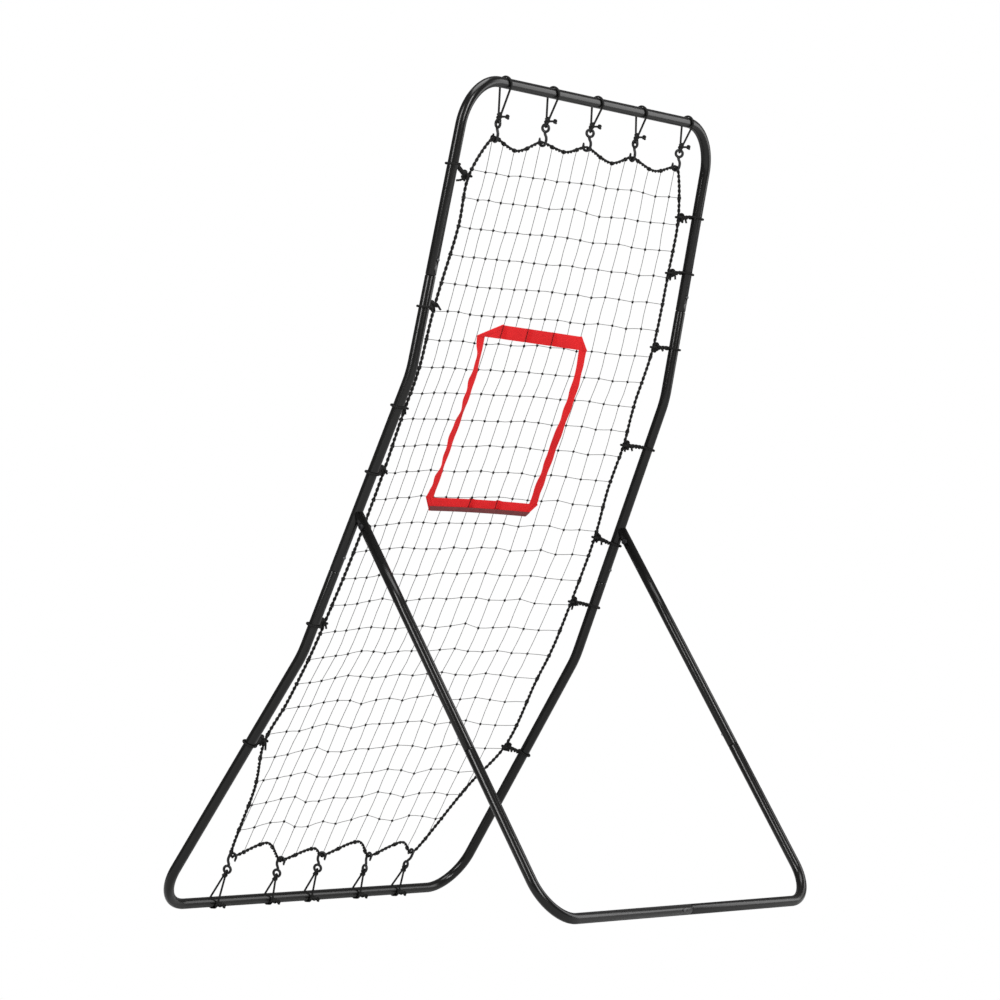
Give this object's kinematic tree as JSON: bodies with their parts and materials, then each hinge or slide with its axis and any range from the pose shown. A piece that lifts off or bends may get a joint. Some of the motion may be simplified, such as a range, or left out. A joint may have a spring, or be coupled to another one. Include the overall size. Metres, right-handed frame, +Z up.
{
  "type": "pitch back rebounder",
  "caption": "Free-standing ball rebounder: a bent black tube frame with a hinged U-shaped rear leg, holding a knotted net with a red target strap on hooks and elastic cords",
  "frame": {"origin": "on the floor, under the middle of the frame and leg seen from above", "axes": "+Z up, +Y towards the rear leg (the ball comes from -Y), +X to the player's right"},
  "size_m": [0.9062, 0.8695, 1.4609],
  "materials": {
    "black_powder_coat": "satin black powder coat on steel tube",
    "black_hardware": "black plated bolt and lock nut",
    "zinc": "zinc-plated snap button",
    "hook_plastic": "black moulded plastic",
    "elastic_cord": "black braided cover over elastic",
    "red_webbing": "woven red webbing",
    "net_twine": "black knotted twine",
    "black_rope": "black twisted cord"
  },
  "bodies": {
    "frame": {"upper_hoop": "black_powder_coat", "lower_hoop": "black_powder_coat", "left_mid_rail": "black_powder_coat", "right_mid_rail": "black_powder_coat", "left_pivot_tab": "black_powder_coat", "right_pivot_tab": "black_powder_coat", "net": "net_twine", "border_rope": "black_rope", "target_strap": "red_webbing", "top_hook_1": "hook_plastic", "top_hook_2": "hook_plastic", "top_hook_3": "hook_plastic", "top_hook_4": "hook_plastic", "top_hook_5": "hook_plastic", "foot_hook_1": "hook_plastic", "foot_hook_2": "hook_plastic", "foot_hook_3": "hook_plastic", "foot_hook_4": "hook_plastic", "foot_hook_5": "hook_plastic", "top_bungee_1": "elastic_cord", "top_bungee_2": "elastic_cord", "top_bungee_3": "elastic_cord", "top_bungee_4": "elastic_cord", "top_bungee_5": "elastic_cord", "foot_bungee_1": "elastic_cord", "foot_bungee_2": "elastic_cord", "foot_bungee_3": "elastic_cord", "foot_bungee_4": "elastic_cord", "foot_bungee_5": "elastic_cord", "right_tie_1": "black_rope", "right_tie_2": "black_rope", "right_tie_3": "black_rope", "right_tie_4": "black_rope", "right_tie_5": "black_rope", "right_tie_6": "black_rope", "left_tie_1": "black_rope", "left_tie_2": "black_rope", "left_tie_3": "black_rope", "left_tie_4": "black_rope", "left_tie_5": "black_rope", "left_tie_6": "black_rope", "left_tie_7": "black_rope"},
    "leg": {"left_upper_leg": "black_powder_coat", "left_lower_leg": "black_powder_coat", "left_pivot_bolt": "black_hardware", "left_lock_nut": "black_hardware", "right_upper_leg": "black_powder_coat", "right_lower_leg": "black_powder_coat", "right_pivot_bolt": "black_hardware", "right_lock_nut": "black_hardware"},
    "left_upper_button": {"left_upper_button": "zinc"},
    "left_lower_button": {"left_lower_button": "zinc"},
    "left_leg_button": {"left_leg_button": "zinc"},
    "right_upper_button": {"right_upper_button": "zinc"},
    "right_lower_button": {"right_lower_button": "zinc"},
    "right_leg_button": {"right_leg_button": "zinc"},
    "leg_bar_button": {"leg_bar_button": "zinc"}
  },
  "joints": [
    {"name": "leg_fold", "type": "hinge", "parent": "frame", "child": "leg", "pos_m": [0, 0.02423, 0.67707], "axis": [-1, 0, 0], "range_deg": [0, 52]},
    {"name": "left_upper_press", "type": "slide", "parent": "frame", "child": "left_upper_button", "axis": [0, -0.9733, 0.2295], "range_m": [0, 0.004], "stiffness_N_per_m": 300, "springref_m": -0.002},
    {"name": "left_lower_press", "type": "slide", "parent": "frame", "child": "left_lower_button", "axis": [0, -0.9083, 0.4183], "range_m": [0, 0.004], "stiffness_N_per_m": 300, "springref_m": -0.002},
    {"name": "left_leg_press", "type": "slide", "parent": "leg", "child": "left_leg_button", "axis": [0, 0.8587, 0.5124], "range_m": [0, 0.004], "stiffness_N_per_m": 300, "springref_m": -0.002},
    {"name": "right_upper_press", "type": "slide", "parent": "frame", "child": "right_upper_button", "axis": [0, -0.9733, 0.2295], "range_m": [0, 0.004], "stiffness_N_per_m": 300, "springref_m": -0.002},
    {"name": "right_lower_press", "type": "slide", "parent": "frame", "child": "right_lower_button", "axis": [0, -0.9083, 0.4183], "range_m": [0, 0.004], "stiffness_N_per_m": 300, "springref_m": -0.002},
    {"name": "right_leg_press", "type": "slide", "parent": "leg", "child": "right_leg_button", "axis": [0, 0.8587, 0.5124], "range_m": [0, 0.004], "stiffness_N_per_m": 300, "springref_m": -0.002},
    {"name": "leg_bar_press", "type": "slide", "parent": "leg", "child": "leg_bar_button", "axis": [0, -1, 0], "range_m": [0, 0.004], "stiffness_N_per_m": 300, "springref_m": -0.002}
  ]
}
